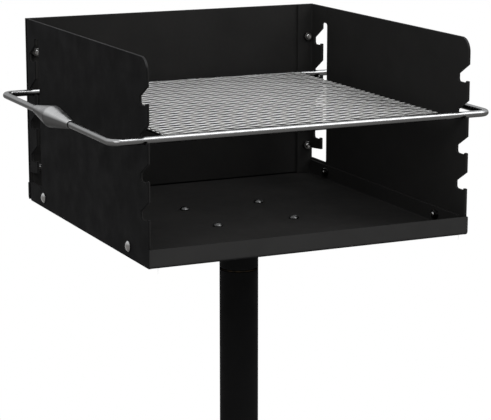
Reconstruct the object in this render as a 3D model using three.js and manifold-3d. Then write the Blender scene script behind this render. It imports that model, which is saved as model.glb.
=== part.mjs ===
// Pedestal barbecue grill for a park: an open-fronted steel firebox that turns on a post,
// with a cooking grate that hooks into four levels. Millimetres, +Z up, the open front faces -Y.
// The origin is the centre of the base plate's underside.
import * as THREE from 'three';
import { mergeVertices } from 'three/addons/utils/BufferGeometryUtils.js';
import Module from 'manifold-3d';

const wasm = await Module();
wasm.setup();
const { Manifold, Mesh } = wasm;

// Firebox: sizes over the side walls' outer faces and front edges, the back panel and the top edge.
const boxWidth = 406.4;
const boxDepth = 408.8;
const boxHeight = 234;
const panUndersideZ = 720;
const sheet = 3;
const bendMiddleRadius = 3.2;

// Clearances: between pieces that touch, and the overrun of every cut.
const fitGap = 0.3;
const cutOverrun = 8;
const weldTolerance = 0.0001;

// Base plate.
const baseSide = 254;
const baseThick = 8;
const baseCornerRadius = 14;
const baseHoleDiameter = 14;
const baseHoleInset = 27;

// Post and swivel.
const postDiameter = 48.3;
const postWall = 3.5;
const washerThick = 2;
const stubLength = 58;
const spindleReach = 110;
const spindleSideGap = 0.35;
const spindleTipChamfer = 3;
const spindleTopDrop = 3;
const mountPlateSide = 140;
const mountPlateThick = 5;
const mountPlateCornerRadius = 10;
const mountBoltInset = 19;

// Floor pan.
const rimHeight = 22;
const cornerReliefLength = 9;

// Side panels.
const frontCornerRadius = 17;
const rearFlangeWidth = 24;

// Hook pockets: heights are above the pan's underside, and mouth and back heights above the pocket's floor.
const levelCount = 4;
const topPocketDrop = 53.2;
const lowPocketFloor = 52.7;
const frontPocketDepth = 22;
const frontMouthHeight = 22.2;
const frontBackHeight = 9.1;
const rearPocketDepth = 22.1;
const rearMouthHeight = 22.8;
const rearBackHeight = 8.9;
const rearPocketSetback = 12.9;
const hookHeight = 2.5;
const hookLength = 4.4;
const hookRampLength = 1.5;
const pocketCornerRadius = 3.4;

// Rear channel that joins the rear pockets.
const channelWidth = 15;
const channelTopDrop = 21.8;
const channelTopRadius = 3.7;
const channelAboveRim = 2.1;
const footPocketExtra = 10.7;
const footBackHeight = 12.7;
const footMouthHeight = 15.7;

// Bolts and nuts.
const shankDiameter = 6;
const holeDiameter = 7;
const headDiameter = 12.4;
const headHeight = 3.6;
const headRadiusShares = [1, 1, 0.86, 0.55];
const headHeightShares = [0, 0.25, 0.66, 0.93];
const nutAcross = 10;
const nutHeight = 5;
const tailLength = 1.5;
const sideBoltFrontInset = 59.5;
const sideBoltRearInset = 59.5;
const sideBoltHeight = 13.4;
const backBoltInset = 10.8;
const backBoltTopDrop = 43;
const backBoltLowHeight = 42;

// Grate loop.
const rodDiameter = 8;
const rodCoreWidth = 0.2;
const loopOverhang = 35.4;
const loopSideShift = -2.4;
const loopFrontSetback = 9;
const loopRearPlay = 5.7;
const loopCornerRadius = 12;
const restLevel = 1;

// Cooking mesh and its strips.
const meshSideGap = 26.7;
const meshThick = 1.3;
const meshBorder = 4;
const meshStrand = 3.4;
const meshColumns = 8;
const meshRows = 20;
const stripWidth = 12;
const stripThick = 3;

// Grips.
const gripDiameter = 26.4;
const gripLength = 119;
const gripTipWall = 0.9;
const gripRearShift = 1.5;
const gripCrownShare = 0.02;
const gripShoulderShare = 0.1;
const gripShoulderRadiusShare = 0.945;

// Segment counts.
const pipeSegments = 32;
const rodBevelSegments = 3;
const gripSegments = 24;
const boltSegments = 14;
const holeSegments = 14;
const nutSides = 6;
const bendSegments = 6;
const cornerSegments = 10;

// Derived places of the firebox.
const halfWidth = boxWidth / 2;
const halfDepth = boxDepth / 2;
const innerHalfWidth = halfWidth - sheet;
const innerBend = bendMiddleRadius - sheet / 2;
const outerBend = innerBend + sheet;
const frontEdgeY = -halfDepth;
const rearFaceY = halfDepth;
const boxTopZ = panUndersideZ + boxHeight;
const panFloorZ = panUndersideZ + sheet;
const panFlangeX = innerHalfWidth - fitGap;
const floorHalfWidth = panFlangeX - outerBend - sheet;
const flangeRearY = rearFaceY - sheet - fitGap;
const pocketBackY = rearFaceY - rearPocketSetback;
const toothY = pocketBackY - rearPocketDepth;
const channelFrontY = toothY - channelWidth;
const channelTopZ = boxTopZ - channelTopDrop;
const channelBottomZ = panUndersideZ + rimHeight + channelAboveRim;
const topPocketZ = boxTopZ - topPocketDrop;
const lowPocketZ = panUndersideZ + lowPocketFloor;
const levelPitch = (topPocketZ - lowPocketZ) / (levelCount - 1);
const pocketFloors = Array.from({ length: levelCount }, (_, level) => topPocketZ - level * levelPitch);

// Derived places of the post and swivel.
const mountPlateTopZ = panUndersideZ - fitGap;
const mountPlateUnderZ = mountPlateTopZ - mountPlateThick;
const stubTopZ = mountPlateUnderZ - fitGap;
const stubBottomZ = stubTopZ - stubLength;
const washerTopZ = stubBottomZ - fitGap;
const washerBottomZ = washerTopZ - washerThick;
const postTopZ = washerBottomZ - fitGap;
const postBottomZ = baseThick + fitGap;
const postBore = postDiameter - 2 * postWall;
const spindleRadius = postBore / 2 - spindleSideGap;
const spindleTopZ = stubTopZ - spindleTopDrop;
const spindleBottomZ = postTopZ - spindleReach;

// Derived places of the grate.
const rodRadius = rodDiameter / 2;
const rodZ = pocketFloors[restLevel] + rodRadius + fitGap;
const loopHalfWidth = halfWidth + loopOverhang;
const loopFrontY = frontEdgeY + loopFrontSetback;
const loopRearY = pocketBackY - rodRadius - loopRearPlay;
const loopMiddleY = (loopFrontY + loopRearY) / 2;
const meshHalfWidth = innerHalfWidth - meshSideGap;
const meshFrontY = loopFrontY + rodRadius + fitGap;
const meshRearY = loopRearY - rodRadius - fitGap;
const meshBottomZ = rodZ + rodRadius - meshThick;

const sides = [[-1, 'left'], [1, 'right']];

// Finishes.
const enamel = () => new THREE.MeshStandardMaterial({ color: 0x1b1b1c, roughness: 0.62, metalness: 0.1 });
const zinc = () => new THREE.MeshStandardMaterial({ color: 0xb9bcbe, roughness: 0.32, metalness: 1 });
const plated = () => new THREE.MeshStandardMaterial({ color: 0xc6c9ca, roughness: 0.28, metalness: 1 });
const meshSteel = () => new THREE.MeshStandardMaterial({ color: 0xb4b8b6, roughness: 0.45, metalness: 1 });
const bronze = () => new THREE.MeshStandardMaterial({ color: 0x8d7448, roughness: 0.4, metalness: 1 });

// Turns a closed geometry into a solid that can be cut and joined.
function solidOf(geometry) {
  const bare = geometry.index ? geometry.toNonIndexed() : geometry.clone();
  bare.deleteAttribute('normal');
  bare.deleteAttribute('uv');
  const merged = mergeVertices(bare, weldTolerance);
  return new Manifold(new Mesh({
    numProp: 3,
    vertProperties: new Float32Array(merged.attributes.position.array),
    triVerts: new Uint32Array(merged.index.array),
  }));
}

// Turns a solid back into a geometry.
function geometryOf(solid) {
  const mesh = solid.getMesh();
  const geometry = new THREE.BufferGeometry();
  geometry.setAttribute('position', new THREE.BufferAttribute(new Float32Array(mesh.vertProperties), 3));
  geometry.setIndex(new THREE.BufferAttribute(new Uint32Array(mesh.triVerts), 1));
  geometry.computeVertexNormals();
  return geometry;
}

function block(fromX, toX, fromY, toY, fromZ, toZ) {
  const geometry = new THREE.BoxGeometry(toX - fromX, toY - fromY, toZ - fromZ);
  return solidOf(geometry.translate((fromX + toX) / 2, (fromY + toY) / 2, (fromZ + toZ) / 2));
}

// A round cutter for a bolt hole, from one place to another along the named axis.
function drill(axis, diameter, from, to, a, b) {
  const length = Math.abs(to - from);
  const middle = (from + to) / 2;
  const geometry = new THREE.CylinderGeometry(diameter / 2, diameter / 2, length, holeSegments);
  if (axis === 'x') geometry.rotateZ(Math.PI / 2).translate(middle, a, b);
  if (axis === 'y') geometry.translate(a, middle, b);
  if (axis === 'z') geometry.rotateX(Math.PI / 2).translate(a, b, middle);
  return solidOf(geometry);
}

function extrude(shape, depth, curveSegments) {
  return new THREE.ExtrudeGeometry(shape, { depth, bevelEnabled: false, curveSegments });
}

// A flat outline in X and Y, pulled up along Z.
function plate(shape, thick, z, curveSegments) {
  return solidOf(extrude(shape, thick, curveSegments).translate(0, 0, z));
}

// An outline drawn with Y across and Z up, pulled along X from one place to another.
function sideways(shape, fromX, toX, curveSegments) {
  const geometry = extrude(shape, toX - fromX, curveSegments);
  geometry.rotateX(Math.PI / 2);
  geometry.rotateZ(Math.PI / 2);
  return solidOf(geometry.translate(fromX, 0, 0));
}

function roundedRectangle(width, height, radius) {
  const shape = new THREE.Shape();
  const w = width / 2;
  const h = height / 2;
  shape.moveTo(-w + radius, -h);
  shape.lineTo(w - radius, -h);
  shape.absarc(w - radius, -h + radius, radius, -Math.PI / 2, 0);
  shape.lineTo(w, h - radius);
  shape.absarc(w - radius, h - radius, radius, 0, Math.PI / 2);
  shape.lineTo(-w + radius, h);
  shape.absarc(-w + radius, h - radius, radius, Math.PI / 2, Math.PI);
  shape.lineTo(-w, -h + radius);
  shape.absarc(-w + radius, -h + radius, radius, Math.PI, Math.PI * 1.5);
  return shape;
}

// A profile of radius and height, turned about Z.
function lathe(profile, segments) {
  const points = profile.map(([r, z]) => new THREE.Vector2(r, z));
  return new THREE.LatheGeometry(points, segments).rotateX(Math.PI / 2);
}

function pipe(outer, inner, bottom, top) {
  return lathe([
    [inner / 2, bottom],
    [outer / 2, bottom],
    [outer / 2, top],
    [inner / 2, top],
    [inner / 2, bottom],
  ], pipeSegments);
}

const grill = new THREE.Group();
const firebox = new THREE.Group();
const grate = new THREE.Group();
grill.add(firebox);
firebox.add(grate);

function addPiece(group, name, geometry, material) {
  const mesh = new THREE.Mesh(geometry, material);
  mesh.name = name;
  group.add(mesh);
  return mesh;
}

// Base plate with its four anchor holes.
const baseHoleAt = baseSide / 2 - baseHoleInset;
let base = plate(roundedRectangle(baseSide, baseSide, baseCornerRadius), baseThick, 0, cornerSegments);
for (const [sx] of sides) {
  for (const [sy] of sides) {
    base = base.subtract(drill('z', baseHoleDiameter, -cutOverrun, baseThick + cutOverrun,
      sx * baseHoleAt, sy * baseHoleAt));
  }
}
addPiece(grill, 'base_plate', geometryOf(base), enamel());

// Post, the washer on its top, and the swivel's pipe and spindle.
addPiece(grill, 'post', pipe(postDiameter, postBore, postBottomZ, postTopZ), enamel());
addPiece(grill, 'thrust_washer', pipe(postDiameter, postBore, washerBottomZ, washerTopZ), bronze());
addPiece(firebox, 'swivel_stub', pipe(postDiameter, postBore, stubBottomZ, stubTopZ), enamel());
addPiece(firebox, 'swivel_spindle', lathe([
  [0, spindleBottomZ],
  [spindleRadius - spindleTipChamfer, spindleBottomZ],
  [spindleRadius, spindleBottomZ + spindleTipChamfer],
  [spindleRadius, spindleTopZ],
  [0, spindleTopZ],
], pipeSegments), zinc());

// Square plate that carries the firebox on the swivel.
const mountBoltAt = mountPlateSide / 2 - mountBoltInset;
const mountBolts = [];
for (const [side, sideName] of sides) {
  mountBolts.push({ x: side * mountBoltAt, y: -mountBoltAt, name: `front_${sideName}` });
  mountBolts.push({ x: side * mountBoltAt, y: mountBoltAt, name: `rear_${sideName}` });
}
let mountPlate = plate(
  roundedRectangle(mountPlateSide, mountPlateSide, mountPlateCornerRadius),
  mountPlateThick, mountPlateUnderZ, cornerSegments,
);
for (const bolt of mountBolts) {
  mountPlate = mountPlate.subtract(drill('z', holeDiameter, mountPlateUnderZ - cutOverrun,
    mountPlateTopZ + cutOverrun, bolt.x, bolt.y));
}
addPiece(firebox, 'mounting_plate', geometryOf(mountPlate), enamel());

// Places of the bolts in the side walls and in the back.
const sideBolts = [];
const backBolts = [];
for (const [side, sideName] of sides) {
  const z = panUndersideZ + sideBoltHeight;
  sideBolts.push({ side, y: frontEdgeY + sideBoltFrontInset, z, name: `${sideName}_front` });
  sideBolts.push({ side, y: rearFaceY - sideBoltRearInset, z, name: `${sideName}_rear` });
  const x = side * (halfWidth - backBoltInset);
  backBolts.push({ x, z: panUndersideZ + backBoltLowHeight, name: `${sideName}_low` });
  backBolts.push({ x, z: boxTopZ - backBoltTopDrop, name: `${sideName}_high` });
}

// Section of the pan from its front lip, along the floor, to its rear flange.
function panSection() {
  const shape = new THREE.Shape();
  const inFront = frontEdgeY - fitGap;
  const outFront = inFront - sheet;
  const inRear = rearFaceY + fitGap;
  const outRear = inRear + sheet;
  const rimZ = panUndersideZ + rimHeight;
  const bendZ = panUndersideZ + outerBend;
  shape.moveTo(outFront + outerBend, panUndersideZ);
  shape.lineTo(outRear - outerBend, panUndersideZ);
  shape.absarc(outRear - outerBend, bendZ, outerBend, -Math.PI / 2, 0);
  shape.lineTo(outRear, rimZ);
  shape.lineTo(inRear, rimZ);
  shape.lineTo(inRear, bendZ);
  shape.absarc(inRear - innerBend, bendZ, innerBend, 0, -Math.PI / 2, true);
  shape.lineTo(inFront + innerBend, panFloorZ);
  shape.absarc(inFront + innerBend, bendZ, innerBend, -Math.PI / 2, -Math.PI, true);
  shape.lineTo(inFront, rimZ);
  shape.lineTo(outFront, rimZ);
  shape.lineTo(outFront, bendZ);
  shape.absarc(outFront + outerBend, bendZ, outerBend, Math.PI, Math.PI * 1.5);
  return shape;
}

// Side flange of the pan, on the right side, short of the lip and the rear flange.
function panFlange() {
  const shape = new THREE.Shape();
  const rootX = floorHalfWidth - sheet;
  const rimZ = panUndersideZ + rimHeight;
  const bendZ = panUndersideZ + outerBend;
  shape.moveTo(rootX, panUndersideZ);
  shape.lineTo(panFlangeX - outerBend, panUndersideZ);
  shape.absarc(panFlangeX - outerBend, bendZ, outerBend, -Math.PI / 2, 0);
  shape.lineTo(panFlangeX, rimZ);
  shape.lineTo(panFlangeX - sheet, rimZ);
  shape.lineTo(panFlangeX - sheet, bendZ);
  shape.absarc(panFlangeX - outerBend, bendZ, innerBend, 0, -Math.PI / 2, true);
  shape.lineTo(rootX, panFloorZ);
  const length = boxDepth - 2 * cornerReliefLength;
  const geometry = extrude(shape, length, bendSegments);
  geometry.rotateX(Math.PI / 2);
  return solidOf(geometry.translate(0, length / 2, 0));
}

// Floor pan: its lip and rear flange lie outside the walls, its side flanges inside them.
let pan = sideways(panSection(), -halfWidth, halfWidth, bendSegments);
const flange = panFlange();
for (const [side] of sides) {
  const ends = [side * floorHalfWidth, side * (halfWidth + cutOverrun)];
  pan = pan.subtract(block(Math.min(...ends), Math.max(...ends), frontEdgeY - fitGap, rearFaceY + fitGap,
    panUndersideZ - cutOverrun, panUndersideZ + rimHeight));
  pan = pan.add(side > 0 ? flange : flange.mirror([1, 0, 0]));
}
for (const bolt of sideBolts) {
  pan = pan.subtract(drill('x', holeDiameter, bolt.side * (panFlangeX - cutOverrun),
    bolt.side * (panFlangeX + cutOverrun), bolt.y, bolt.z));
}
for (const bolt of mountBolts) {
  pan = pan.subtract(drill('z', holeDiameter, panUndersideZ - cutOverrun, panFloorZ + cutOverrun,
    bolt.x, bolt.y));
}
addPiece(firebox, 'floor_pan', geometryOf(pan), enamel());

// Outline of a hook pocket that opens at the given edge and runs rearward from it.
function hookPocket(edgeY, depth, floorZ, mouthHeight, backHeight) {
  const shape = new THREE.Shape();
  const backY = edgeY + depth;
  const r = pocketCornerRadius;
  shape.moveTo(edgeY - cutOverrun, floorZ + hookHeight);
  shape.lineTo(edgeY + hookLength, floorZ + hookHeight);
  shape.lineTo(edgeY + hookLength + hookRampLength, floorZ);
  shape.lineTo(backY - r, floorZ);
  shape.absarc(backY - r, floorZ + r, r, -Math.PI / 2, 0);
  shape.lineTo(backY, floorZ + backHeight);
  shape.lineTo(edgeY, floorZ + mouthHeight);
  shape.lineTo(edgeY - cutOverrun, floorZ + mouthHeight);
  return shape;
}

// Outline of the rear channel, with a deeper pocket at its foot that runs into the rear bend.
function rearChannel() {
  const shape = new THREE.Shape();
  const topR = Math.min(channelTopRadius, channelWidth / 2);
  const footBackY = pocketBackY + footPocketExtra;
  const r = pocketCornerRadius;
  shape.moveTo(channelFrontY + r, channelBottomZ);
  shape.lineTo(footBackY - r, channelBottomZ);
  shape.absarc(footBackY - r, channelBottomZ + r, r, -Math.PI / 2, 0);
  shape.lineTo(footBackY, channelBottomZ + footBackHeight);
  shape.lineTo(toothY, channelBottomZ + footMouthHeight);
  shape.lineTo(toothY, channelTopZ - topR);
  shape.absarc(toothY - topR, channelTopZ - topR, topR, 0, Math.PI / 2);
  shape.absarc(channelFrontY + topR, channelTopZ - topR, topR, Math.PI / 2, Math.PI);
  shape.lineTo(channelFrontY, channelBottomZ + r);
  shape.absarc(channelFrontY + r, channelBottomZ + r, r, Math.PI, Math.PI * 1.5);
  return shape;
}

// Flat wall of a side panel, short of its rear bend, with the front top corner rounded.
function wallOutline() {
  const shape = new THREE.Shape();
  const bendY = flangeRearY - outerBend;
  const cornerY = frontEdgeY + frontCornerRadius;
  shape.moveTo(frontEdgeY, panUndersideZ);
  shape.lineTo(bendY, panUndersideZ);
  shape.lineTo(bendY, boxTopZ);
  shape.lineTo(cornerY, boxTopZ);
  shape.absarc(cornerY, boxTopZ - frontCornerRadius, frontCornerRadius, Math.PI / 2, Math.PI);
  return shape;
}

// Rear bend and flange of a side panel, seen from above.
function rearCornerOutline() {
  const shape = new THREE.Shape();
  const bendY = flangeRearY - outerBend;
  shape.moveTo(0, bendY - sheet);
  shape.lineTo(sheet, bendY - sheet);
  shape.lineTo(sheet, bendY);
  shape.absarc(outerBend, bendY, innerBend, Math.PI, Math.PI / 2, true);
  shape.lineTo(rearFlangeWidth, flangeRearY - sheet);
  shape.lineTo(rearFlangeWidth, flangeRearY);
  shape.lineTo(outerBend, flangeRearY);
  shape.absarc(outerBend, bendY, outerBend, Math.PI / 2, Math.PI);
  return shape;
}

// A side panel, made as the left one with its outer face at X = 0 and its flange towards +X.
function sidePanel() {
  let panel = sideways(wallOutline(), 0, sheet, cornerSegments);
  panel = panel.add(plate(rearCornerOutline(), boxHeight, panUndersideZ, bendSegments));
  panel = panel.subtract(block(sheet + fitGap, rearFlangeWidth + cutOverrun, flangeRearY - outerBend,
    flangeRearY + cutOverrun, panUndersideZ - cutOverrun, panFloorZ + fitGap));
  for (const floorZ of pocketFloors) {
    const front = hookPocket(frontEdgeY, frontPocketDepth, floorZ, frontMouthHeight, frontBackHeight);
    const rear = hookPocket(toothY, rearPocketDepth, floorZ, rearMouthHeight, rearBackHeight);
    panel = panel.subtract(sideways(front, -cutOverrun, cutOverrun, bendSegments));
    panel = panel.subtract(sideways(rear, -cutOverrun, cutOverrun, bendSegments));
  }
  panel = panel.subtract(sideways(rearChannel(), -cutOverrun, outerBend, bendSegments));
  for (const bolt of sideBolts.filter((one) => one.side < 0)) {
    panel = panel.subtract(drill('x', holeDiameter, -cutOverrun, cutOverrun, bolt.y, bolt.z));
  }
  for (const bolt of backBolts.filter((one) => one.x < 0)) {
    panel = panel.subtract(drill('y', holeDiameter, flangeRearY - cutOverrun, flangeRearY + cutOverrun,
      backBoltInset, bolt.z));
  }
  return panel;
}

const leftPanel = sidePanel().translate([-halfWidth, 0, 0]);
addPiece(firebox, 'side_panel_left', geometryOf(leftPanel), enamel());
addPiece(firebox, 'side_panel_right', geometryOf(leftPanel.mirror([1, 0, 0])), enamel());

// Back panel, held between the side panels' flanges and the pan's rear flange.
let back = block(-halfWidth, halfWidth, rearFaceY - sheet, rearFaceY,
  panUndersideZ + outerBend + fitGap, boxTopZ);
for (const bolt of backBolts) {
  back = back.subtract(drill('y', holeDiameter, rearFaceY - cutOverrun, rearFaceY + cutOverrun,
    bolt.x, bolt.z));
}
addPiece(firebox, 'back_panel', geometryOf(back), enamel());

// A round-headed bolt along Z: its head's underside is at 0 and its shank goes down.
function boltGeometry(grip) {
  const crown = headRadiusShares.map((share, i) => [
    share * (headDiameter / 2),
    headHeightShares[i] * headHeight,
  ]);
  return lathe([
    [0, -grip],
    [shankDiameter / 2, -grip],
    [shankDiameter / 2, 0],
    ...crown,
    [0, headHeight],
  ], boltSegments);
}

// A hexagon nut along Z with its far face at 0, pierced for the shank.
function nutGeometry() {
  const corner = nutAcross / 2 / Math.cos(Math.PI / nutSides);
  const shape = new THREE.Shape();
  shape.setFromPoints(Array.from({ length: nutSides }, (_, i) => {
    const angle = (2 * Math.PI * i) / nutSides;
    return new THREE.Vector2(corner * Math.cos(angle), corner * Math.sin(angle));
  }));
  const bore = new THREE.Path();
  bore.absarc(0, 0, shankDiameter / 2 + fitGap, 0, Math.PI * 2, true);
  shape.holes.push(bore);
  return extrude(shape, nutHeight, holeSegments / 2);
}

// A bolt through a stack of the given thickness, with its nut on the far side.
function addFastener(name, stack, place, turn) {
  const bolt = addPiece(firebox, `${name}_bolt`, boltGeometry(stack + nutHeight + tailLength), zinc());
  const nut = addPiece(firebox, `${name}_nut`, nutGeometry(), zinc());
  bolt.rotation.copy(turn);
  nut.rotation.copy(turn);
  bolt.position.copy(place);
  nut.position.copy(place).add(new THREE.Vector3(0, 0, -stack - nutHeight).applyEuler(turn));
}

const mountStack = mountPlateThick + sheet + 3 * fitGap;
const wallStack = 2 * sheet + 3 * fitGap;
for (const bolt of mountBolts) {
  const place = new THREE.Vector3(bolt.x, bolt.y, panFloorZ + fitGap);
  addFastener(`mount_${bolt.name}`, mountStack, place, new THREE.Euler());
}
for (const bolt of sideBolts) {
  const place = new THREE.Vector3(bolt.side * (halfWidth + fitGap), bolt.y, bolt.z);
  addFastener(`side_${bolt.name}`, wallStack, place, new THREE.Euler(0, bolt.side * (Math.PI / 2), 0));
}
for (const bolt of backBolts) {
  const place = new THREE.Vector3(bolt.x, rearFaceY + fitGap, bolt.z);
  addFastener(`back_${bolt.name}`, wallStack, place, new THREE.Euler(-Math.PI / 2, 0, 0));
}

// Closed loop of rod: a thin flat ring, rounded all over to the rod's section by its bevel.
function loopGeometry() {
  const width = 2 * loopHalfWidth;
  const length = loopRearY - loopFrontY;
  const half = rodCoreWidth / 2;
  const outline = roundedRectangle(width + rodCoreWidth, length + rodCoreWidth, loopCornerRadius + half);
  outline.holes.push(roundedRectangle(width - rodCoreWidth, length - rodCoreWidth, loopCornerRadius - half));
  const geometry = new THREE.ExtrudeGeometry(outline, {
    depth: rodCoreWidth,
    bevelEnabled: true,
    bevelSize: rodRadius - half,
    bevelThickness: rodRadius - half,
    bevelSegments: rodBevelSegments,
    curveSegments: cornerSegments,
  });
  return geometry.translate(loopSideShift, loopMiddleY, rodZ - half);
}
addPiece(grate, 'grate_rod_loop', loopGeometry(), plated());

// A diamond-shaped opening of the mesh.
function diamond(halfLong, halfShort) {
  const shape = new THREE.Shape();
  shape.moveTo(-halfLong, 0);
  shape.lineTo(0, -halfShort);
  shape.lineTo(halfLong, 0);
  shape.lineTo(0, halfShort);
  return shape;
}

// Cooking surface: flat expanded mesh with a plain border, its diamonds in staggered rows.
function meshGeometry() {
  const leftX = loopSideShift - meshHalfWidth;
  const rightX = loopSideShift + meshHalfWidth;
  const topZ = meshBottomZ + meshThick;
  const longWay = (2 * meshHalfWidth - 2 * meshBorder) / meshColumns;
  const shortWay = (meshRearY - meshFrontY - 2 * meshBorder) / meshRows;
  const slope = Math.hypot(longWay, shortWay);
  const halfLong = (longWay - (meshStrand * slope) / shortWay) / 2;
  const halfShort = (shortWay - (meshStrand * slope) / longWay) / 2;
  const cut = plate(diamond(halfLong, halfShort), meshThick + 2 * cutOverrun, meshBottomZ - cutOverrun, 1);
  const cuts = [];
  for (let step = 1; step < 2 * meshRows; step += 1) {
    const offset = step % 2;
    for (let column = 1 - offset; column < meshColumns; column += 1) {
      const x = leftX + meshBorder + (column + offset / 2) * longWay;
      const y = meshFrontY + meshBorder + (step / 2) * shortWay;
      cuts.push(cut.translate([x, y, 0]));
    }
  }
  const blank = block(leftX, rightX, meshFrontY, meshRearY, meshBottomZ, topZ);
  return geometryOf(blank.subtract(Manifold.union(cuts)));
}
addPiece(grate, 'cooking_mesh', meshGeometry(), meshSteel());

// Flat strips under the mesh's side edges, from the loop's front bar to its rear bar.
for (const [side, sideName] of sides) {
  const geometry = new THREE.BoxGeometry(stripWidth, meshRearY - meshFrontY, stripThick);
  const strip = addPiece(grate, `mesh_strip_${sideName}`, geometry, plated());
  strip.position.x = loopSideShift + side * (meshHalfWidth - stripWidth / 2);
  strip.position.y = (meshFrontY + meshRearY) / 2;
  strip.position.z = meshBottomZ - fitGap - stripThick / 2;
}

// Grip: two cones that meet at a rounded middle, bored for the rod.
function gripGeometry() {
  const half = gripLength / 2;
  const bore = rodRadius + fitGap;
  const tip = bore + gripTipWall;
  const belly = gripDiameter / 2;
  const shoulder = belly * gripShoulderRadiusShare;
  return lathe([
    [bore, -half],
    [tip, -half],
    [shoulder, -half * gripShoulderShare],
    [belly, -half * gripCrownShare],
    [belly, half * gripCrownShare],
    [shoulder, half * gripShoulderShare],
    [tip, half],
    [bore, half],
    [bore, -half],
  ], gripSegments);
}
for (const [side, sideName] of sides) {
  const grip = addPiece(grate, `grip_${sideName}`, gripGeometry(), plated());
  grip.rotation.x = Math.PI / 2;
  grip.position.set(loopSideShift + side * loopHalfWidth, loopMiddleY + gripRearShift, rodZ);
}

export default grill;
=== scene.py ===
"""Looks of the park barbecue grill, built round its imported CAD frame. Lengths are in metres."""
import math

import bmesh
import bpy
from mathutils import Matrix, Vector


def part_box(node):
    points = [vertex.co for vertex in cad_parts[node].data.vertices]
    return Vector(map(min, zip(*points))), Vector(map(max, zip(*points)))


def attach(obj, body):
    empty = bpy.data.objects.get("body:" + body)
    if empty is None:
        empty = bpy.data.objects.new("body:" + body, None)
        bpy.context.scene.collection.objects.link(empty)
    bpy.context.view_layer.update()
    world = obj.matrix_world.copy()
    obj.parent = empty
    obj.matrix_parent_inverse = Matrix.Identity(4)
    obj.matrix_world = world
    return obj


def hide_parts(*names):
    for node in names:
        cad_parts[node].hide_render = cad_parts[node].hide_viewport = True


# Camera, worked out from the firebox's straight edges in the photograph.
PHOTO_WIDTH_PIXELS = 491
FOCAL_PIXELS = 1919.4
CAMERA_PLACE = (-0.96927, -2.10777, 1.23572)
CAMERA_HEADING_DEGREES = 24.9005
CAMERA_PITCH_DEGREES = 12.3511
SENSOR_WIDTH_MM = 36

# Sheet metal.
SHEET = 0.003
EDGE_ROUNDING = 0.0004
EDGE_MERGE = EDGE_ROUNDING / 100
EDGE_SEGMENTS = 2
SHARP_ANGLE_DEGREES = 28
FLAT_ANGLE_DEGREES = 1

# Round pieces.
PIPE_SIDES = 96
PIPE_CHAMFER = 0.0006
POST_WALL = 0.0035

# Weld beads.
BEAD_LEG = 0.006
BEAD_RIPPLE = 0.00035
BEAD_RIPPLES = 60
BEAD_SIDES = 240
BEAD_ARC_STEPS = 6
BEAD_LEG_SHARE = 0.78
BEAD_BULGE = 1.28
WELD_SHARP_DEGREES = 60
TACK_LENGTH = 0.011
TACK_RADIUS = 0.0022
TACK_STEPS = 12
TACK_SIDES = 16
TACK_END_SHARE = 0.02

# Fasteners.
HEAD_HEIGHT = 0.0036
HEAD_RIM = 0.0008
HEAD_SIDES = 48
HEAD_ARC_STEPS = 10
HEAD_CROWN_STEP = 0.5
HEAD_SHARP_DEGREES = 40
SHANK_RADIUS = 0.003
THREAD_PITCH = 0.001
THREAD_DEPTH = 0.00055
THREAD_STEPS = 8
THREAD_SIDES = 40
THREAD_TURNS = 3
THREAD_SHARP_DEGREES = 80
NUT_SIDES = 6
NUT_STEPS = 8
NUT_CHAMFER_SHARE = 0.94
NUT_CHAMFER_SLOPE = 0.577
NUT_SHARP_DEGREES = 20

# Grate.
LOOP_CORNER_RADIUS = 0.012
LOOP_CORNER_STEPS = 14
LOOP_BAR_STEP = 0.02
ROD_SIDES = 28
ROD_SHARP_DEGREES = 60
MESH_LONG_PITCH = 0.03175
MESH_SHORT_PITCH = 0.0127
MESH_STRAND = 0.0018
MESH_BOND_LENGTH = 0.00635
MESH_EDGE_ROUNDING = 0.00028
MESH_MERGE = MESH_STRAND / 50
MESH_RIM_DEGREES = 60
MESH_SHARP_DEGREES = 50

# Grips.
GRIP_SIDES = 72
GRIP_SHARP_DEGREES = 30
GRIP_TIP_RADIUS = 0.0052
GRIP_RADIUS_SHARES = (-0.05, 0.01, 0.045, 0.33, 0.64, 0.9, 0.965, 0.993, 1.0)
GRIP_LENGTH_SHARES = (1.0, 0.99, 0.955, 0.68, 0.38, 0.11, 0.055, 0.02, 0.0)

# Painted shade: faces whose normal's height lies under the first value get the dark colour in full, and
# faces over the second get the top colour.
ROUND_SHADE_SPAN = (0.22, 0.62)
MESH_SHADE_SPAN = (0.1, 0.8)

# Stage.
FLOOR_HALF = 40.0
FLOOR_SHADE = (0.8, 0.8, 0.8)
FLOOR_PLAIN_RADIUS = 0.6
FLOOR_WHITE_RADIUS = 1.3
WORLD_LEVEL = 0.42

# Lamps: place, width, height and radiance. Both face the firebox.
LAMP_AIM = (0, 0, 0.85)
KEY_LAMP = ((-1.5, -1.9, 2.4), 1.6, 1.2, 3.6)
STRIP_LAMP = ((1.15, -1.0, 2.9), 1.1, 3.0, 4.2)

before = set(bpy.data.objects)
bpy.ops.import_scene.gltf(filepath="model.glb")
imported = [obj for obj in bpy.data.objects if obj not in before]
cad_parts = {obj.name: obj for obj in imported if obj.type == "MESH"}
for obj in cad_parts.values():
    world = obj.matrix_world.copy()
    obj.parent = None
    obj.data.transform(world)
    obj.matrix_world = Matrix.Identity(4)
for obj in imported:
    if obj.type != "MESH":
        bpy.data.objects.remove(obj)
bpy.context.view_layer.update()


def mesh_object(name, mesh, material, body, slot, *replaced):
    """Puts a finished mesh into the scene, riding on its body in place of its CAD nodes."""
    piece = bpy.data.objects.new(name, mesh)
    bpy.context.scene.collection.objects.link(piece)
    mesh.materials.clear()
    mesh.materials.append(material)
    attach(piece, body)
    if replaced:
        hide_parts(*replaced)
    return piece


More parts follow.
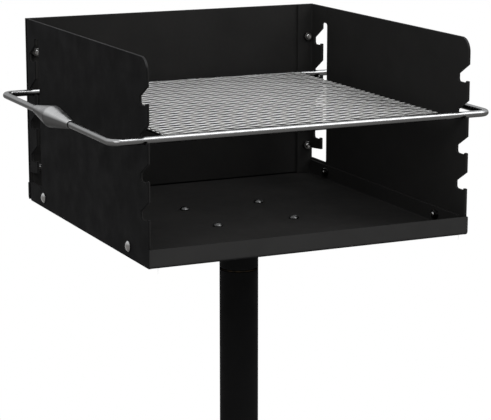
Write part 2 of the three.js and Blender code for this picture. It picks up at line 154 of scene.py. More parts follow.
def smooth_mesh(name, work, sharp_degrees=SHARP_ANGLE_DEGREES):
    """Turns a bmesh into a mesh that is smooth but for its sharp edges."""
    bmesh.ops.recalc_face_normals(work, faces=work.faces)
    mesh = bpy.data.meshes.new(name)
    work.to_mesh(mesh)
    work.free()
    mesh.shade_smooth()
    mesh.set_sharp_from_angle(angle=math.radians(sharp_degrees))
    return mesh


def skin(name, rings, wrap=False, sharp_degrees=SHARP_ANGLE_DEGREES):
    """Joins rings of points into a closed surface, wrapped round or capped at both ends."""
    work = bmesh.new()
    made = [[work.verts.new(point) for point in ring] for ring in rings]
    pairs = list(zip(made, made[1:]))
    if wrap:
        pairs.append((made[-1], made[0]))
    for first, second in pairs:
        for i in range(len(first)):
            j = (i + 1) % len(first)
            work.faces.new((first[i], first[j], second[j], second[i]))
    if not wrap:
        work.faces.new(made[0])
        work.faces.new(made[-1])
    return smooth_mesh(name, work, sharp_degrees)


def turned_rings(profile, sides, place=Matrix.Identity(4)):
    """Rings of a profile of (radius, height) points turned about Z, then set in place."""
    rings = []
    for radius, height in profile:
        ring = []
        for i in range(sides):
            angle = 2 * math.pi * i / sides
            point = Vector((radius * math.cos(angle), radius * math.sin(angle), height))
            ring.append(place @ point)
        rings.append(ring)
    return rings


def along(direction, origin):
    """Matrix that turns +Z to the direction and moves the origin there."""
    turn = Vector(direction).to_track_quat("Z", "Y").to_matrix().to_4x4()
    return Matrix.Translation(origin) @ turn


# Node helpers for the materials.
class Shader:
    """A material with its principled shader and short calls for procedural nodes."""

    def __init__(self, name, colour, metallic, roughness, specular=0.5, slant=1.0):
        self.material = bpy.data.materials.new(name)
        self.material.use_nodes = True
        self.tree = self.material.node_tree
        self.surface = self.tree.nodes["Principled BSDF"]
        self.surface.inputs["Base Color"].default_value = (*colour, 1)
        self.surface.inputs["Metallic"].default_value = metallic
        self.surface.inputs["Roughness"].default_value = roughness
        self.surface.inputs["Specular IOR Level"].default_value = specular
        self.surface.inputs["Specular Tint"].default_value = (slant, slant, slant, 1)
        self.places = self.add("ShaderNodeTexCoord").outputs["Object"]

    def add(self, kind, **values):
        node = self.tree.nodes.new(kind)
        for key, value in values.items():
            setattr(node, key, value)
        return node

    def join(self, source, target):
        self.tree.links.new(source, target)

    def stretched(self, scale, source=None):
        node = self.add("ShaderNodeMapping")
        node.inputs["Scale"].default_value = scale
        self.join(source or self.places, node.inputs["Vector"])
        return node.outputs["Vector"]

    def noise(self, scale, detail=3.0, roughness=0.5, source=None):
        node = self.add("ShaderNodeTexNoise")
        node.inputs["Scale"].default_value = scale
        node.inputs["Detail"].default_value = detail
        node.inputs["Roughness"].default_value = roughness
        self.join(source or self.places, node.inputs["Vector"])
        return node.outputs["Fac"]

    def part(self, source, axis):
        """One of a vector's three numbers, by its letter."""
        node = self.add("ShaderNodeSeparateXYZ")
        self.join(source, node.inputs[0])
        return node.outputs[axis]

    def maths(self, operation, first, second=0.0):
        node = self.add("ShaderNodeMath", operation=operation)
        for value, socket in zip((first, second), node.inputs):
            if isinstance(value, float):
                socket.default_value = value
            else:
                self.join(value, socket)
        return node.outputs[0]

    def span(self, source, low, high, to_low=0.0, to_high=1.0):
        node = self.add("ShaderNodeMapRange")
        node.inputs["From Min"].default_value = low
        node.inputs["From Max"].default_value = high
        node.inputs["To Min"].default_value = to_low
        node.inputs["To Max"].default_value = to_high
        self.join(source, node.inputs["Value"])
        return node.outputs["Result"]

    def sum(self, first, second, share):
        node = self.add("ShaderNodeMix", data_type="FLOAT")
        node.inputs["Factor"].default_value = share
        self.join(first, node.inputs["A"])
        self.join(second, node.inputs["B"])
        return node.outputs["Result"]

    def blend(self, factor, first, second):
        """Mixes two colours, each a plain colour or a socket."""
        node = self.add("ShaderNodeMix", data_type="RGBA")
        self.join(factor, node.inputs["Factor"])
        for value, socket in ((first, node.inputs[6]), (second, node.inputs[7])):
            if isinstance(value, tuple):
                socket.default_value = (*value, 1)
            else:
                self.join(value, socket)
        return node.outputs[2]

    def edges(self, radius):
        """1 on rounded edges and 0 on flat faces, from the bevelled normal."""
        bevel = self.add("ShaderNodeBevel", samples=4)
        bevel.inputs["Radius"].default_value = radius
        geometry = self.add("ShaderNodeNewGeometry")
        dot = self.add("ShaderNodeVectorMath", operation="DOT_PRODUCT")
        self.join(bevel.outputs["Normal"], dot.inputs[0])
        self.join(geometry.outputs["Normal"], dot.inputs[1])
        return self.span(dot.outputs["Value"], 1.0, 0.86)

    def painted_underside_shade(self, top_colour, dark, heights=ROUND_SHADE_SPAN):
        """The top colour on upward faces, and the dark one on the flanks and underneath as painted shade.
        """
        normal = self.add("ShaderNodeNewGeometry").outputs["Normal"]
        facing = self.span(self.part(normal, "Z"), *heights)
        return self.blend(facing, dark, top_colour)

    def colour(self, source):
        self.join(source, self.surface.inputs["Base Color"])

    def rough(self, source):
        self.join(source, self.surface.inputs["Roughness"])

    def bump(self, source, distance, strength=1.0):
        node = self.add("ShaderNodeBump")
        node.inputs["Distance"].default_value = distance
        node.inputs["Strength"].default_value = strength
        self.join(source, node.inputs["Height"])
        self.join(node.outputs["Normal"], self.surface.inputs["Normal"])


def enamel_material(name, tone):
    """Matte black heat-proof paint, faintly clouded, with paler sheared edges and a painted highlight on
    the top rims.

    The firebox's inner faces are painted paler, for ash and as painted fill light that lifts their shade.
    Tone scales the paint's brightness."""
    shader = Shader(name, (0.007 * tone,) * 3, 0.0, 0.8, 0.03)
    clouds = shader.sum(shader.noise(7.0, 5.0, 0.6), shader.noise(420.0, 2.0), 0.25)
    paint = shader.blend(
        shader.span(clouds, 0.3, 0.7),
        (0.0062 * tone, 0.0062 * tone, 0.0064 * tone),
        (0.0074 * tone, 0.0074 * tone, 0.0076 * tone),
    )
    # Paler inner faces: ash, and painted fill light that lifts their shade.
    ash_and_fill_light = shader.blend(shader.span(clouds, 0.3, 0.7), (0.0165, 0.0163, 0.016), (0.0245, 0.024, 0.0235))
    finish = shader.blend(inside_firebox(shader), paint, ash_and_fill_light)
    # Painted light: the front lip is paler, as if lit from the front.
    finish = shader.blend(front_lip_light(shader), finish, (0.0335, 0.0332, 0.0328))
    # Paler rounded edges: wear of the paint, and a painted highlight.
    finish = shader.blend(shader.edges(0.0007), finish, (0.02, 0.02, 0.0205))
    # Painted highlight on the upward-facing top rims.
    finish = shader.blend(rim_painted_highlight(shader), finish, (0.042, 0.042, 0.043))
    shader.colour(finish)
    shader.rough(shader.span(shader.noise(38.0, 4.0, 0.6), 0.3, 0.7, 0.7, 0.86))
    peel = shader.sum(shader.noise(900.0, 2.0), shader.noise(260.0, 2.0), 0.4)
    shader.bump(peel, 0.00006, 0.35)
    return shader.material


def inside_firebox(shader):
    """1 on the faces that look into the firebox and 0 elsewhere, by their place."""
    low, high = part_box("floor_pan")
    half_sheet = SHEET / 2
    step = SHEET / 6
    across = shader.maths("ABSOLUTE", shader.part(shader.places, "X"))
    deep = shader.part(shader.places, "Y")
    tall = shader.part(shader.places, "Z")
    side = high.x - half_sheet
    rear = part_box("back_panel")[1].y - half_sheet
    front = low.y + half_sheet
    floor = low.z + half_sheet
    share = shader.span(across, side - step, side + step, 1.0, 0.0)
    share = shader.maths("MULTIPLY", share, shader.span(deep, rear - step, rear + step, 1.0, 0.0))
    share = shader.maths("MULTIPLY", share, shader.span(deep, front - step, front + step))
    return shader.maths("MULTIPLY", share, shader.span(tall, floor - step, floor + step))


def front_lip_light(shader):
    """1 on the outer face of the pan's front lip, painted paler as light falling on it from the front, and
    0 elsewhere.
    """
    low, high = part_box("floor_pan")
    step = SHEET / 6
    deep = shader.span(shader.part(shader.places, "Y"), low.y + step, low.y + 2 * step, 1.0, 0.0)
    tall = shader.part(shader.places, "Z")
    share = shader.maths("MULTIPLY", deep, shader.span(tall, low.z - step, low.z))
    share = shader.maths("MULTIPLY", share, shader.span(tall, high.z, high.z + step, 1.0, 0.0))
    return shader.maths("MULTIPLY", share, shader.span(shader.noise(24.0, 5.0, 0.6), 0.2, 0.6, 0.8, 1.0))


def rim_painted_highlight(shader):
    """1 on the walls' upward-facing top rims and rounded corners, broken up by noise: the mask of a
    painted highlight.
    """
    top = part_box("side_panel_left")[1].z
    normal = shader.add("ShaderNodeNewGeometry").outputs["Normal"]
    upward = shader.span(shader.part(normal, "Z"), 0.3, 0.6)
    tall = shader.span(shader.part(shader.places, "Z"), top - 5 * SHEET, top - 3 * SHEET)
    rim = shader.maths("MULTIPLY", upward, tall)
    return shader.maths("MULTIPLY", rim, shader.span(shader.noise(60.0, 4.0, 0.6), 0.25, 0.55, 0.5, 1.0))


def zinc_material(name, tone):
    """Zinc plating of the fasteners, mottled and dull, with painted shade on the flanks and underneath;
    tone darkens it.
    """
    shader = Shader(name, (0.5 * tone, 0.51 * tone, 0.52 * tone), 1.0, 0.26)
    mottle = shader.noise(900.0, 3.0, 0.6)
    top_colour = shader.blend(
        shader.span(mottle, 0.3, 0.7),
        (0.4 * tone, 0.41 * tone, 0.42 * tone),
        (0.56 * tone, 0.56 * tone, 0.555 * tone),
    )
    # Painted shade: the flanks and undersides go to the dark colour.
    shader.colour(shader.painted_underside_shade(top_colour, (0.16 * tone, 0.155 * tone, 0.15 * tone)))
    shader.rough(shader.span(shader.noise(1600.0, 2.0), 0.3, 0.7, 0.18, 0.36))
    shader.bump(shader.noise(2600.0, 2.0), 0.00002, 0.4)
    return shader.material


def rod_material():
    """Plated drawn rod: fine lines along the bar, from its own map, and painted shade on the flanks and
    underside.
    """
    shader = Shader("plated_rod", (0.34, 0.344, 0.348), 1.0, 0.26, slant=0.5)
    laid = shader.add("ShaderNodeUVMap", uv_map="along").outputs["UV"]
    lines = shader.noise(1.0, 4.0, 0.65, shader.stretched((60.0, 2400.0, 1.0), laid))
    patches = shader.noise(55.0, 4.0, 0.6)
    tone = shader.sum(lines, patches, 0.5)
    top_colour = shader.blend(shader.span(tone, 0.3, 0.7), (0.31, 0.313, 0.317), (0.39, 0.394, 0.398))
    # Painted shade: the flanks and underside go to the dark colour.
    shader.colour(shader.painted_underside_shade(top_colour, (0.095, 0.094, 0.092)))
    shader.rough(shader.span(patches, 0.3, 0.7, 0.2, 0.3))
    shader.bump(lines, 0.00002, 0.2)
    return shader.material


def grip_material():
    """Turned steel of the grips: fine rings round the axis under a satin plating, with painted shade on
    the flanks and underneath.
    """
    shader = Shader("plated_grip", (0.42, 0.425, 0.43), 1.0, 0.3, slant=0.35)
    rings = shader.noise(1.0, 3.0, 0.6, shader.stretched((12.0, 2600.0, 12.0)))
    patches = shader.noise(70.0, 4.0, 0.6)
    tone = shader.sum(rings, patches, 0.5)
    top_colour = shader.blend(shader.span(tone, 0.3, 0.7), (0.53, 0.534, 0.538), (0.68, 0.685, 0.69))
    # Painted shade: the flanks and underside go to the dark colour.
    shader.colour(shader.painted_underside_shade(top_colour, (0.095, 0.094, 0.093)))
    shader.rough(shader.span(patches, 0.3, 0.7, 0.26, 0.38))
    shader.bump(rings, 0.00004, 0.3)
    return shader.material


def mesh_material():
    """Dull plated expanded steel, darker in patches, with painted shade on the sides and underneath."""
    shader = Shader("mesh_steel", (0.65, 0.655, 0.65), 1.0, 0.45)
    patches = shader.noise(26.0, 5.0, 0.65)
    grain = shader.noise(1500.0, 3.0, 0.6)
    tone = shader.sum(patches, grain, 0.4)
    top_colour = shader.blend(shader.span(tone, 0.3, 0.7), (0.6, 0.6, 0.595), (0.82, 0.825, 0.82))
    # Painted shade: the sides and underside go to the dark colour.
    shader.colour(shader.painted_underside_shade(top_colour, (0.055, 0.053, 0.05), MESH_SHADE_SPAN))
    shader.rough(shader.span(grain, 0.3, 0.7, 0.38, 0.55))
    shader.bump(grain, 0.00005, 0.4)
    return shader.material


def bronze_material():
    """Bearing bronze of the thrust washer, black with oil but for a few rubbed patches."""
    shader = Shader("bronze", (0.02, 0.015, 0.01), 1.0, 0.5, slant=0.2)
    tarnish = shader.noise(160.0, 4.0, 0.6)
    shader.colour(shader.blend(shader.span(tarnish, 0.3, 0.6), (0.024, 0.017, 0.01), (0.01, 0.009, 0.008)))
    shader.rough(shader.span(tarnish, 0.3, 0.7, 0.4, 0.65))
    shader.bump(shader.noise(1200.0, 2.0), 0.00002, 0.4)
    return shader.material


def backdrop_material():
    """Pale floor that keeps the object's shadow, and is seen as plain white further off."""
    shader = Shader("pale_floor", FLOOR_SHADE, 0.0, 0.9, 0.0)
    tree = shader.tree
    flat = shader.add("ShaderNodeVectorMath", operation="LENGTH")
    shader.join(shader.places, flat.inputs[0])
    far = shader.span(flat.outputs["Value"], FLOOR_PLAIN_RADIUS, FLOOR_WHITE_RADIUS)
    white = shader.add("ShaderNodeEmission")
    mix = shader.add("ShaderNodeMixShader")
    shader.join(shader.maths("MULTIPLY", seen_directly(tree), far), mix.inputs[0])
    shader.join(shader.surface.outputs[0], mix.inputs[1])
    shader.join(white.outputs[0], mix.inputs[2])
    shader.join(mix.outputs[0], tree.nodes["Material Output"].inputs["Surface"])
    return shader.material


def seen_directly(tree):
    """1 for camera, glossy and transmission rays, else 0."""
    path = tree.nodes.new("ShaderNodeLightPath")
    total = None
    for name in ("Is Camera Ray", "Is Glossy Ray", "Is Transmission Ray"):
        if total is None:
            total = path.outputs[name]
            continue
        node = tree.nodes.new("ShaderNodeMath")
        node.operation = "MAXIMUM"
        tree.links.new(total, node.inputs[0])
        tree.links.new(path.outputs[name], node.inputs[1])
        total = node.outputs[0]
    return total


ENAMEL = enamel_material("enamel", 1.0)
# A darker copy of the enamel for the post: painted shade.
POST_SHADED_ENAMEL = enamel_material("post_shaded_enamel", 0.9)
ZINC = zinc_material("zinc", 1.0)
# A darker copy of the zinc for the fasteners inside the firebox: painted shade.
SHADED_ZINC = zinc_material("shaded_zinc", 0.22)
PLATED_ROD = rod_material()
PLATED_GRIP = grip_material()
MESH_STEEL = mesh_material()
BRONZE = bronze_material()


def make_sheet_piece(node, body, material, slot):
    """A sheet or plate of the CAD model with its sharp edges rounded off."""
    work = bmesh.new()
    work.from_mesh(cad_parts[node].data)
    bmesh.ops.remove_doubles(work, verts=work.verts, dist=EDGE_MERGE)
    bmesh.ops.dissolve_limit(
        work, angle_limit=math.radians(FLAT_ANGLE_DEGREES), verts=work.verts, edges=work.edges
    )
    sharp = [
        edge
        for edge in work.edges
        if edge.is_manifold and edge.calc_face_angle() > math.radians(SHARP_ANGLE_DEGREES)
    ]
    bmesh.ops.bevel(
        work, geom=sharp, offset=EDGE_ROUNDING, segments=EDGE_SEGMENTS, profile=0.5, affect="EDGES"
    )
    mesh = smooth_mesh(f"{node}_finish", work, 2 * SHARP_ANGLE_DEGREES)
    piece = mesh_object(f"{node}_finish", mesh, material, body, slot, node)
    flatten = piece.modifiers.new("flat_faces", "WEIGHTED_NORMAL")
    flatten.keep_sharp = True
    return piece


def make_pipe(node, body, material, slot):
    """A pipe or ring with the CAD node's size, finely rounded and chamfered at its ends."""
    low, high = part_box(node)
    outer = (high.x - low.x) / 2
    inner = outer - POST_WALL
    chamfer = min(PIPE_CHAMFER, (high.z - low.z) / 4)
    profile = (
        (inner, low.z + chamfer),
        (inner + chamfer, low.z),
        (outer - chamfer, low.z),
        (outer, low.z + chamfer),
        (outer, high.z - chamfer),
        (outer - chamfer, high.z),
        (inner + chamfer, high.z),
        (inner, high.z - chamfer),
    )
    mesh = skin(f"{node}_finish", turned_rings(profile, PIPE_SIDES), wrap=True)
    return mesh_object(f"{node}_finish", mesh, material, body, slot, node)


def make_ring_weld(name, body, radius, height, up):
    """A rippled fillet bead round a pipe, against a plate at the given height."""
    rings = []
    for i in range(BEAD_SIDES):
        angle = 2 * math.pi * i / BEAD_SIDES
        ripple = BEAD_RIPPLE * abs(math.sin(BEAD_RIPPLES * angle / 2))
        ring = [(radius - BEAD_RIPPLE, height - up * BEAD_RIPPLE)]
        for step in range(BEAD_ARC_STEPS + 1):
            turn = math.pi / 2 * step / BEAD_ARC_STEPS
            leg = BEAD_LEG * BEAD_LEG_SHARE + ripple
            reach = leg / (math.cos(turn) + math.sin(turn)) * BEAD_BULGE
            ring.append((radius + reach * math.cos(turn), height + up * reach * math.sin(turn)))
        rings.append(
            [Vector((r * math.cos(angle), r * math.sin(angle), z)) for r, z in ring]
        )
    mesh = skin(name, rings, wrap=True, sharp_degrees=WELD_SHARP_DEGREES)
    return mesh_object(name, mesh, ENAMEL, body, "enamel")


def make_bolt(node, body, direction, material):
    """A round-headed bolt with a true helical thread on its end."""
    low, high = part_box(node)
    length = max(high - low)
    head_radius = sorted(high - low)[1] / 2
    centre = (low + high) / 2
    under_head = centre + Vector(direction) * (length / 2 - HEAD_HEIGHT)
    grip = length - HEAD_HEIGHT
    plain = grip - THREAD_TURNS * THREAD_PITCH
    dome = HEAD_HEIGHT - HEAD_RIM
    sphere = (head_radius**2 + dome**2) / (2 * dome)
    rise = math.asin(head_radius / sphere)
    profile = [(SHANK_RADIUS, -plain), (SHANK_RADIUS, 0.0), (head_radius, 0.0)]
    for step in range(HEAD_ARC_STEPS + 1):
        turn = rise * (1 - step / (HEAD_ARC_STEPS + HEAD_CROWN_STEP))
        profile.append((sphere * math.sin(turn), HEAD_HEIGHT - sphere * (1 - math.cos(turn))))
    place = along(direction, under_head)
    head = skin(node, turned_rings(profile, HEAD_SIDES, place), sharp_degrees=HEAD_SHARP_DEGREES)
    rings = thread_rings(plain, grip, place)
    thread = skin(f"{node}_thread", rings, sharp_degrees=THREAD_SHARP_DEGREES)
    work = bmesh.new()
    work.from_mesh(head)
    work.from_mesh(thread)
    mesh = smooth_mesh(f"{node}_finish", work, HEAD_SHARP_DEGREES)
    return mesh_object(f"{node}_finish", mesh, material, body, "zinc", node)


def thread_rings(start, end, place):
    """Rings down a bolt's end whose radius follows a helix."""
    count = int((end - start) / THREAD_PITCH * THREAD_STEPS)
    rings = []
    for step in range(count + 1):
        depth = start + (end - start) * step / count
        ring = []
        for i in range(THREAD_SIDES):
            share = i / THREAD_SIDES
            phase = (depth / THREAD_PITCH + share) % 1
            groove = THREAD_DEPTH * (1 - abs(2 * phase - 1))
            if step == count:
                groove = THREAD_DEPTH
            angle = 2 * math.pi * share
            radius = SHANK_RADIUS - groove
            point = Vector((radius * math.cos(angle), radius * math.sin(angle), -depth))
            ring.append(place @ point)
        rings.append(ring)
    return rings


def make_nut(node, body, direction, material):
    """A hexagon nut, chamfered on both faces, with its bore."""
    low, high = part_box(node)
    height, across = sorted(high - low)[0], sorted(high - low)[1]
    half = across / 2
    flat = half * NUT_CHAMFER_SHARE
    bore = SHANK_RADIUS
    place = along(direction, (low + high) / 2)
    count = NUT_SIDES * NUT_STEPS
    rings = [[], [], [], [], [], []]
    for i in range(count):
        angle = 2 * math.pi * i / count
        within = (angle % (2 * math.pi / NUT_SIDES)) - math.pi / NUT_SIDES
        corner = half / math.cos(within)
        drop = (corner - flat) * NUT_CHAMFER_SLOPE
        profile = (
            (bore, -height / 2),
            (flat, -height / 2),
            (corner, -height / 2 + drop),
            (corner, height / 2 - drop),
            (flat, height / 2),
            (bore, height / 2),
        )
        for ring, (radius, z) in zip(rings, profile):
            ring.append(place @ Vector((radius * math.cos(angle), radius * math.sin(angle), z)))
    mesh = skin(f"{node}_finish", rings, wrap=True, sharp_degrees=NUT_SHARP_DEGREES)
    return mesh_object(f"{node}_finish", mesh, material, body, "zinc", node)


def make_fasteners():
    """Every bolt and nut: the heads are on the pan, or outside the side and rear walls.

    What lies inside the firebox gets a darker copy of the zinc, which is painted shade."""
    groups = {
        "mount": ((0, 0, 1), SHADED_ZINC, ZINC),
        "side_left": ((-1, 0, 0), ZINC, SHADED_ZINC),
        "side_right": ((1, 0, 0), ZINC, SHADED_ZINC),
        "back": ((0, 1, 0), ZINC, SHADED_ZINC),
    }
    for node in sorted(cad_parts):
        for start, (direction, bolt_finish, nut_finish) in groups.items():
            if node.startswith(start) and node.endswith("_bolt"):
                make_bolt(node, "firebox", direction, bolt_finish)
            if node.startswith(start) and node.endswith("_nut"):
                make_nut(node, "firebox", direction, nut_finish)


def loop_path(low, high, corner):
    """Points and outward normals round a rectangle with round corners, anticlockwise."""
    corners = (
        (high.x - corner, low.y + corner, -90),
        (high.x - corner, high.y - corner, 0),
        (low.x + corner, high.y - corner, 90),
        (low.x + corner, low.y + corner, 180),
    )
    path = []
    for x, y, start in corners:
        for step in range(LOOP_CORNER_STEPS + 1):
            angle = math.radians(start + 90 * step / LOOP_CORNER_STEPS)
            out = Vector((math.cos(angle), math.sin(angle), 0))
            path.append((Vector((x, y, 0)) + corner * out, out))
    full = []
    for i, (point, out) in enumerate(path):
        full.append((point, out))
        following, next_out = path[(i + 1) % len(path)]
        steps = int((following - point).length / LOOP_BAR_STEP)
        for step in range(1, steps):
            full.append((point.lerp(following, step / steps), out.lerp(next_out, step / steps)))
    return full


def make_loop():
    """The closed loop of rod, swept round its centre line, with its length and girth mapped."""
    low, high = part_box("grate_rod_loop")
    radius = (high.z - low.z) / 2
    inset = Vector((radius, radius, 0))
    path = loop_path(low + inset, high - inset, LOOP_CORNER_RADIUS)
    middle = (low.z + high.z) / 2
    work = bmesh.new()
    laid = work.loops.layers.uv.new("along")
    rings = []
    lengths = [0.0]
    for i, (point, out) in enumerate(path):
        ring = []
        for side in range(ROD_SIDES):
            angle = 2 * math.pi * side / ROD_SIDES
            offset = out.normalized() * (radius * math.cos(angle))
            height = middle + radius * math.sin(angle)
            ring.append(work.verts.new((point.x + offset.x, point.y + offset.y, height)))
        rings.append(ring)
        following = path[(i + 1) % len(path)][0]
        lengths.append(lengths[-1] + (following - point).length)
    girth = 2 * math.pi * radius
    for i, ring in enumerate(rings):
        after = rings[(i + 1) % len(rings)]
        for side in range(ROD_SIDES):
            other = (side + 1) % ROD_SIDES
            face = work.faces.new((ring[side], ring[other], after[other], after[side]))
            around = (side, side + 1, side + 1, side)
            passed = (lengths[i], lengths[i], lengths[i + 1], lengths[i + 1])
            for loop, share, length in zip(face.loops, around, passed):
                loop[laid].uv = (length, girth * share / ROD_SIDES)
    mesh = smooth_mesh("grate_rod_loop_finish", work, ROD_SHARP_DEGREES)
    return mesh_object(
        "grate_rod_loop_finish", mesh, PLATED_ROD, "grate", "plated", "grate_rod_loop"
    )


def make_grip(node):
    """A turned grip: two cones that flow into a rounded middle, bored for the rod."""
    low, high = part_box(node)
    centre = (low + high) / 2
    half = (high.y - low.y) / 2
    belly = (high.z - low.z) / 2
    rod_low, rod_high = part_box("grate_rod_loop")
    bore = (rod_high.z - rod_low.z) / 2
    side = [
        (GRIP_TIP_RADIUS + share * (belly - GRIP_TIP_RADIUS), half * along_share)
        for share, along_share in zip(GRIP_RADIUS_SHARES, GRIP_LENGTH_SHARES)
    ]
    profile = [(bore, -half)] + [(r, -y) for r, y in side] + side[-2::-1] + [(bore, half)]
    rings = turned_rings(profile, GRIP_SIDES, along((0, 1, 0), centre))
    mesh = skin(f"{node}_finish", rings, wrap=True, sharp_degrees=GRIP_SHARP_DEGREES)
    return mesh_object(f"{node}_finish", mesh, PLATED_GRIP, "grate", "plated", node)


def mesh_faces(work, x, y):
    """One opening's share of the expanded sheet: the bond above it and a strand on each side."""
    half_bond = MESH_BOND_LENGTH / 2
    tip = MESH_LONG_PITCH / 2 - half_bond
    rise = MESH_SHORT_PITCH / 2 - MESH_STRAND
    middle = MESH_SHORT_PITCH / 2
    top = MESH_SHORT_PITCH - rise
    bond = (
        (-half_bond, rise),
        (half_bond, rise),
        (half_bond, middle),
        (half_bond, top),
        (-half_bond, top),
        (-half_bond, middle),
    )
    outlines = [bond]
    for side in (-1, 1):
        strand = [(tip, 0), (tip, MESH_STRAND), (half_bond, middle), (half_bond, rise)]
        outlines.append([(side * px, py) for px, py in strand])
    for outline in outlines:
        work.faces.new([work.verts.new((x + px, y + py, 0)) for px, py in outline])


def make_mesh():
    """Flattened expanded steel at its true pitch, cut to the CAD mesh's rectangle."""
    low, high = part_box("cooking_mesh")
    work = bmesh.new()
    columns = int((high.x - low.x) / MESH_LONG_PITCH) + 3
    rows = 2 * int((high.y - low.y) / MESH_SHORT_PITCH) + 6
    for row in range(rows):
        y = low.y + (row / 2 - 1) * MESH_SHORT_PITCH
        for column in range(columns):
            x = low.x + (column - 1 + row % 2 / 2) * MESH_LONG_PITCH
            mesh_faces(work, x, y)
    bmesh.ops.remove_doubles(work, verts=work.verts, dist=MESH_MERGE)
    for corner, outward in (
        (low, (-1, 0, 0)),
        (low, (0, -1, 0)),
        (high, (1, 0, 0)),
        (high, (0, 1, 0)),
    ):
        bmesh.ops.bisect_plane(
            work,
            geom=[*work.verts, *work.edges, *work.faces],
            plane_co=(corner.x, corner.y, 0),
            plane_no=outward,
            clear_outer=True,
        )
    bmesh.ops.translate(work, verts=work.verts, vec=(0, 0, low.z))
    bottom = list(work.faces)
    raised = bmesh.ops.extrude_face_region(work, geom=bottom, use_keep_orig=True)
    new_verts = [part for part in raised["geom"] if isinstance(part, bmesh.types.BMVert)]
    bmesh.ops.translate(work, verts=new_verts, vec=(0, 0, high.z - low.z))
    bmesh.ops.recalc_face_normals(work, faces=work.faces)
    rims = [
        edge
        for edge in work.edges
        if edge.is_manifold
        and abs(edge.verts[0].co.z - edge.verts[1].co.z) < MESH_EDGE_ROUNDING
        and edge.calc_face_angle() > math.radians(MESH_RIM_DEGREES)
    ]
    bmesh.ops.bevel(
        work, geom=rims, offset=MESH_EDGE_ROUNDING, segments=EDGE_SEGMENTS, profile=0.5, affect="EDGES"
    )
    mesh = smooth_mesh("cooking_mesh_finish", work, MESH_SHARP_DEGREES)
    return mesh_object(
        "cooking_mesh_finish", mesh, MESH_STEEL, "grate", "mesh_steel", "cooking_mesh"
    )


def make_tack_welds():
    """A short bead at each end of the mesh's strips, where they meet the rod."""
    for side in ("left", "right"):
        low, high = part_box(f"mesh_strip_{side}")
        rod_low, rod_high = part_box("grate_rod_loop")
        for end, y in (("front", low.y), ("rear", high.y)):
            centre = Vector(((low.x + high.x) / 2, y, (low.z + rod_low.z) / 2 + TACK_RADIUS))
            rings = []
            for step in range(TACK_STEPS + 1):
                share = 2 * step / TACK_STEPS - 1
                swell = TACK_RADIUS * math.sqrt(max(TACK_END_SHARE, 1 - share**4))
                ring = []
                for i in range(TACK_SIDES):
                    angle = 2 * math.pi * i / TACK_SIDES
                    ring.append(
                        centre
                        + Vector((
                            share * TACK_LENGTH / 2,
                            swell * math.cos(angle),
                            swell * math.sin(angle),
                        ))
                    )
                rings.append(ring)
            name = f"tack_{end}_{side}"
            mesh = skin(name, rings, sharp_degrees=WELD_SHARP_DEGREES)
            mesh_object(name, mesh, MESH_STEEL, "grate", "plated")


def make_stage():
    """Pale floor, and white world for camera and reflections."""
    mesh = bpy.data.meshes.new("floor")
    side = FLOOR_HALF
    mesh.from_pydata(
        [(-side, -side, 0), (side, -side, 0), (side, side, 0), (-side, side, 0)],
        [],
        [(0, 1, 2, 3)],
    )
    floor = bpy.data.objects.new("floor", mesh)
    bpy.context.scene.collection.objects.link(floor)
    mesh.materials.append(backdrop_material())

    world = bpy.data.worlds.new("studio")
    bpy.context.scene.world = world
    world.use_nodes = True
    tree = world.node_tree
    background = tree.nodes["Background"]
    background.inputs["Color"].default_value = (1, 1, 1, 1)
    level = tree.nodes.new("ShaderNodeMapRange")
    level.inputs["To Min"].default_value = WORLD_LEVEL
    level.inputs["To Max"].default_value = 1.0
    tree.links.new(seen_directly(tree), level.inputs["Value"])
    tree.links.new(level.outputs["Result"], background.inputs["Strength"])


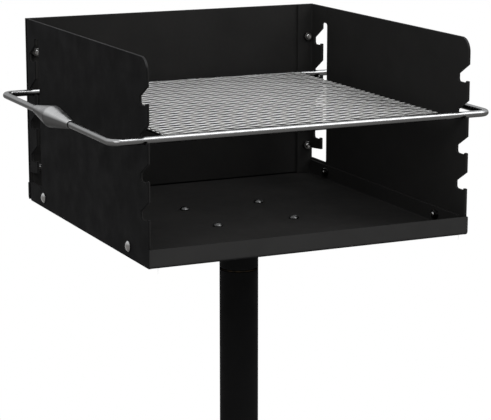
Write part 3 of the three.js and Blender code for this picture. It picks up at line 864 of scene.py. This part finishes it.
def add_softbox(name, place, width, height, radiance):
    """A rectangular lamp of the given radiance, facing the firebox."""
    lamp = bpy.data.lights.new(name, "AREA")
    lamp.shape = "RECTANGLE"
    lamp.size = width
    lamp.size_y = height
    lamp.energy = radiance * math.pi * width * height
    lamp_object = bpy.data.objects.new(name, lamp)
    bpy.context.scene.collection.objects.link(lamp_object)
    lamp_object.location = place
    turn = (Vector(LAMP_AIM) - Vector(place)).to_track_quat("-Z", "Y")
    lamp_object.rotation_mode = "QUATERNION"
    lamp_object.rotation_quaternion = turn
    lamp_object.visible_camera = False


def make_camera():
    """The photograph's camera."""
    heading = math.radians(CAMERA_HEADING_DEGREES)
    pitch = math.radians(CAMERA_PITCH_DEGREES)
    forward = Vector((
        math.sin(heading) * math.cos(pitch),
        math.cos(heading) * math.cos(pitch),
        -math.sin(pitch),
    ))
    data = bpy.data.cameras.new("photo_camera")
    data.sensor_width = SENSOR_WIDTH_MM
    data.lens = SENSOR_WIDTH_MM * FOCAL_PIXELS / PHOTO_WIDTH_PIXELS
    camera = bpy.data.objects.new("photo_camera", data)
    bpy.context.scene.collection.objects.link(camera)
    camera.location = CAMERA_PLACE
    camera.rotation_mode = "QUATERNION"
    camera.rotation_quaternion = forward.to_track_quat("-Z", "Y")
    bpy.context.scene.camera = camera


make_camera()
make_stage()
add_softbox("key_softbox", *KEY_LAMP)
add_softbox("strip_softbox", *STRIP_LAMP)

for panel in ("side_panel_left", "side_panel_right", "back_panel", "floor_pan", "mounting_plate"):
    make_sheet_piece(panel, "firebox", ENAMEL, "enamel")
make_sheet_piece("base_plate", "pedestal", ENAMEL, "enamel")
for strip in ("mesh_strip_left", "mesh_strip_right"):
    make_sheet_piece(strip, "grate", MESH_STEEL, "plated")

make_pipe("post", "pedestal", POST_SHADED_ENAMEL, "enamel")
make_pipe("thrust_washer", "pedestal", BRONZE, "bronze")
make_pipe("swivel_stub", "firebox", ENAMEL, "enamel")
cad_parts["swivel_spindle"].data.materials.clear()
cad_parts["swivel_spindle"].data.materials.append(ZINC)

plate_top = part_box("base_plate")[1].z
plate_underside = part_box("mounting_plate")[0].z
make_ring_weld("weld_post_base", "pedestal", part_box("post")[1].x, plate_top, 1)
make_ring_weld("weld_stub_plate", "firebox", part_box("swivel_stub")[1].x, plate_underside, -1)

make_fasteners()
make_loop()
make_mesh()
make_tack_welds()
for grip_node in ("grip_left", "grip_right"):
    make_grip(grip_node)

bpy.context.scene.view_settings.view_transform = "Standard"
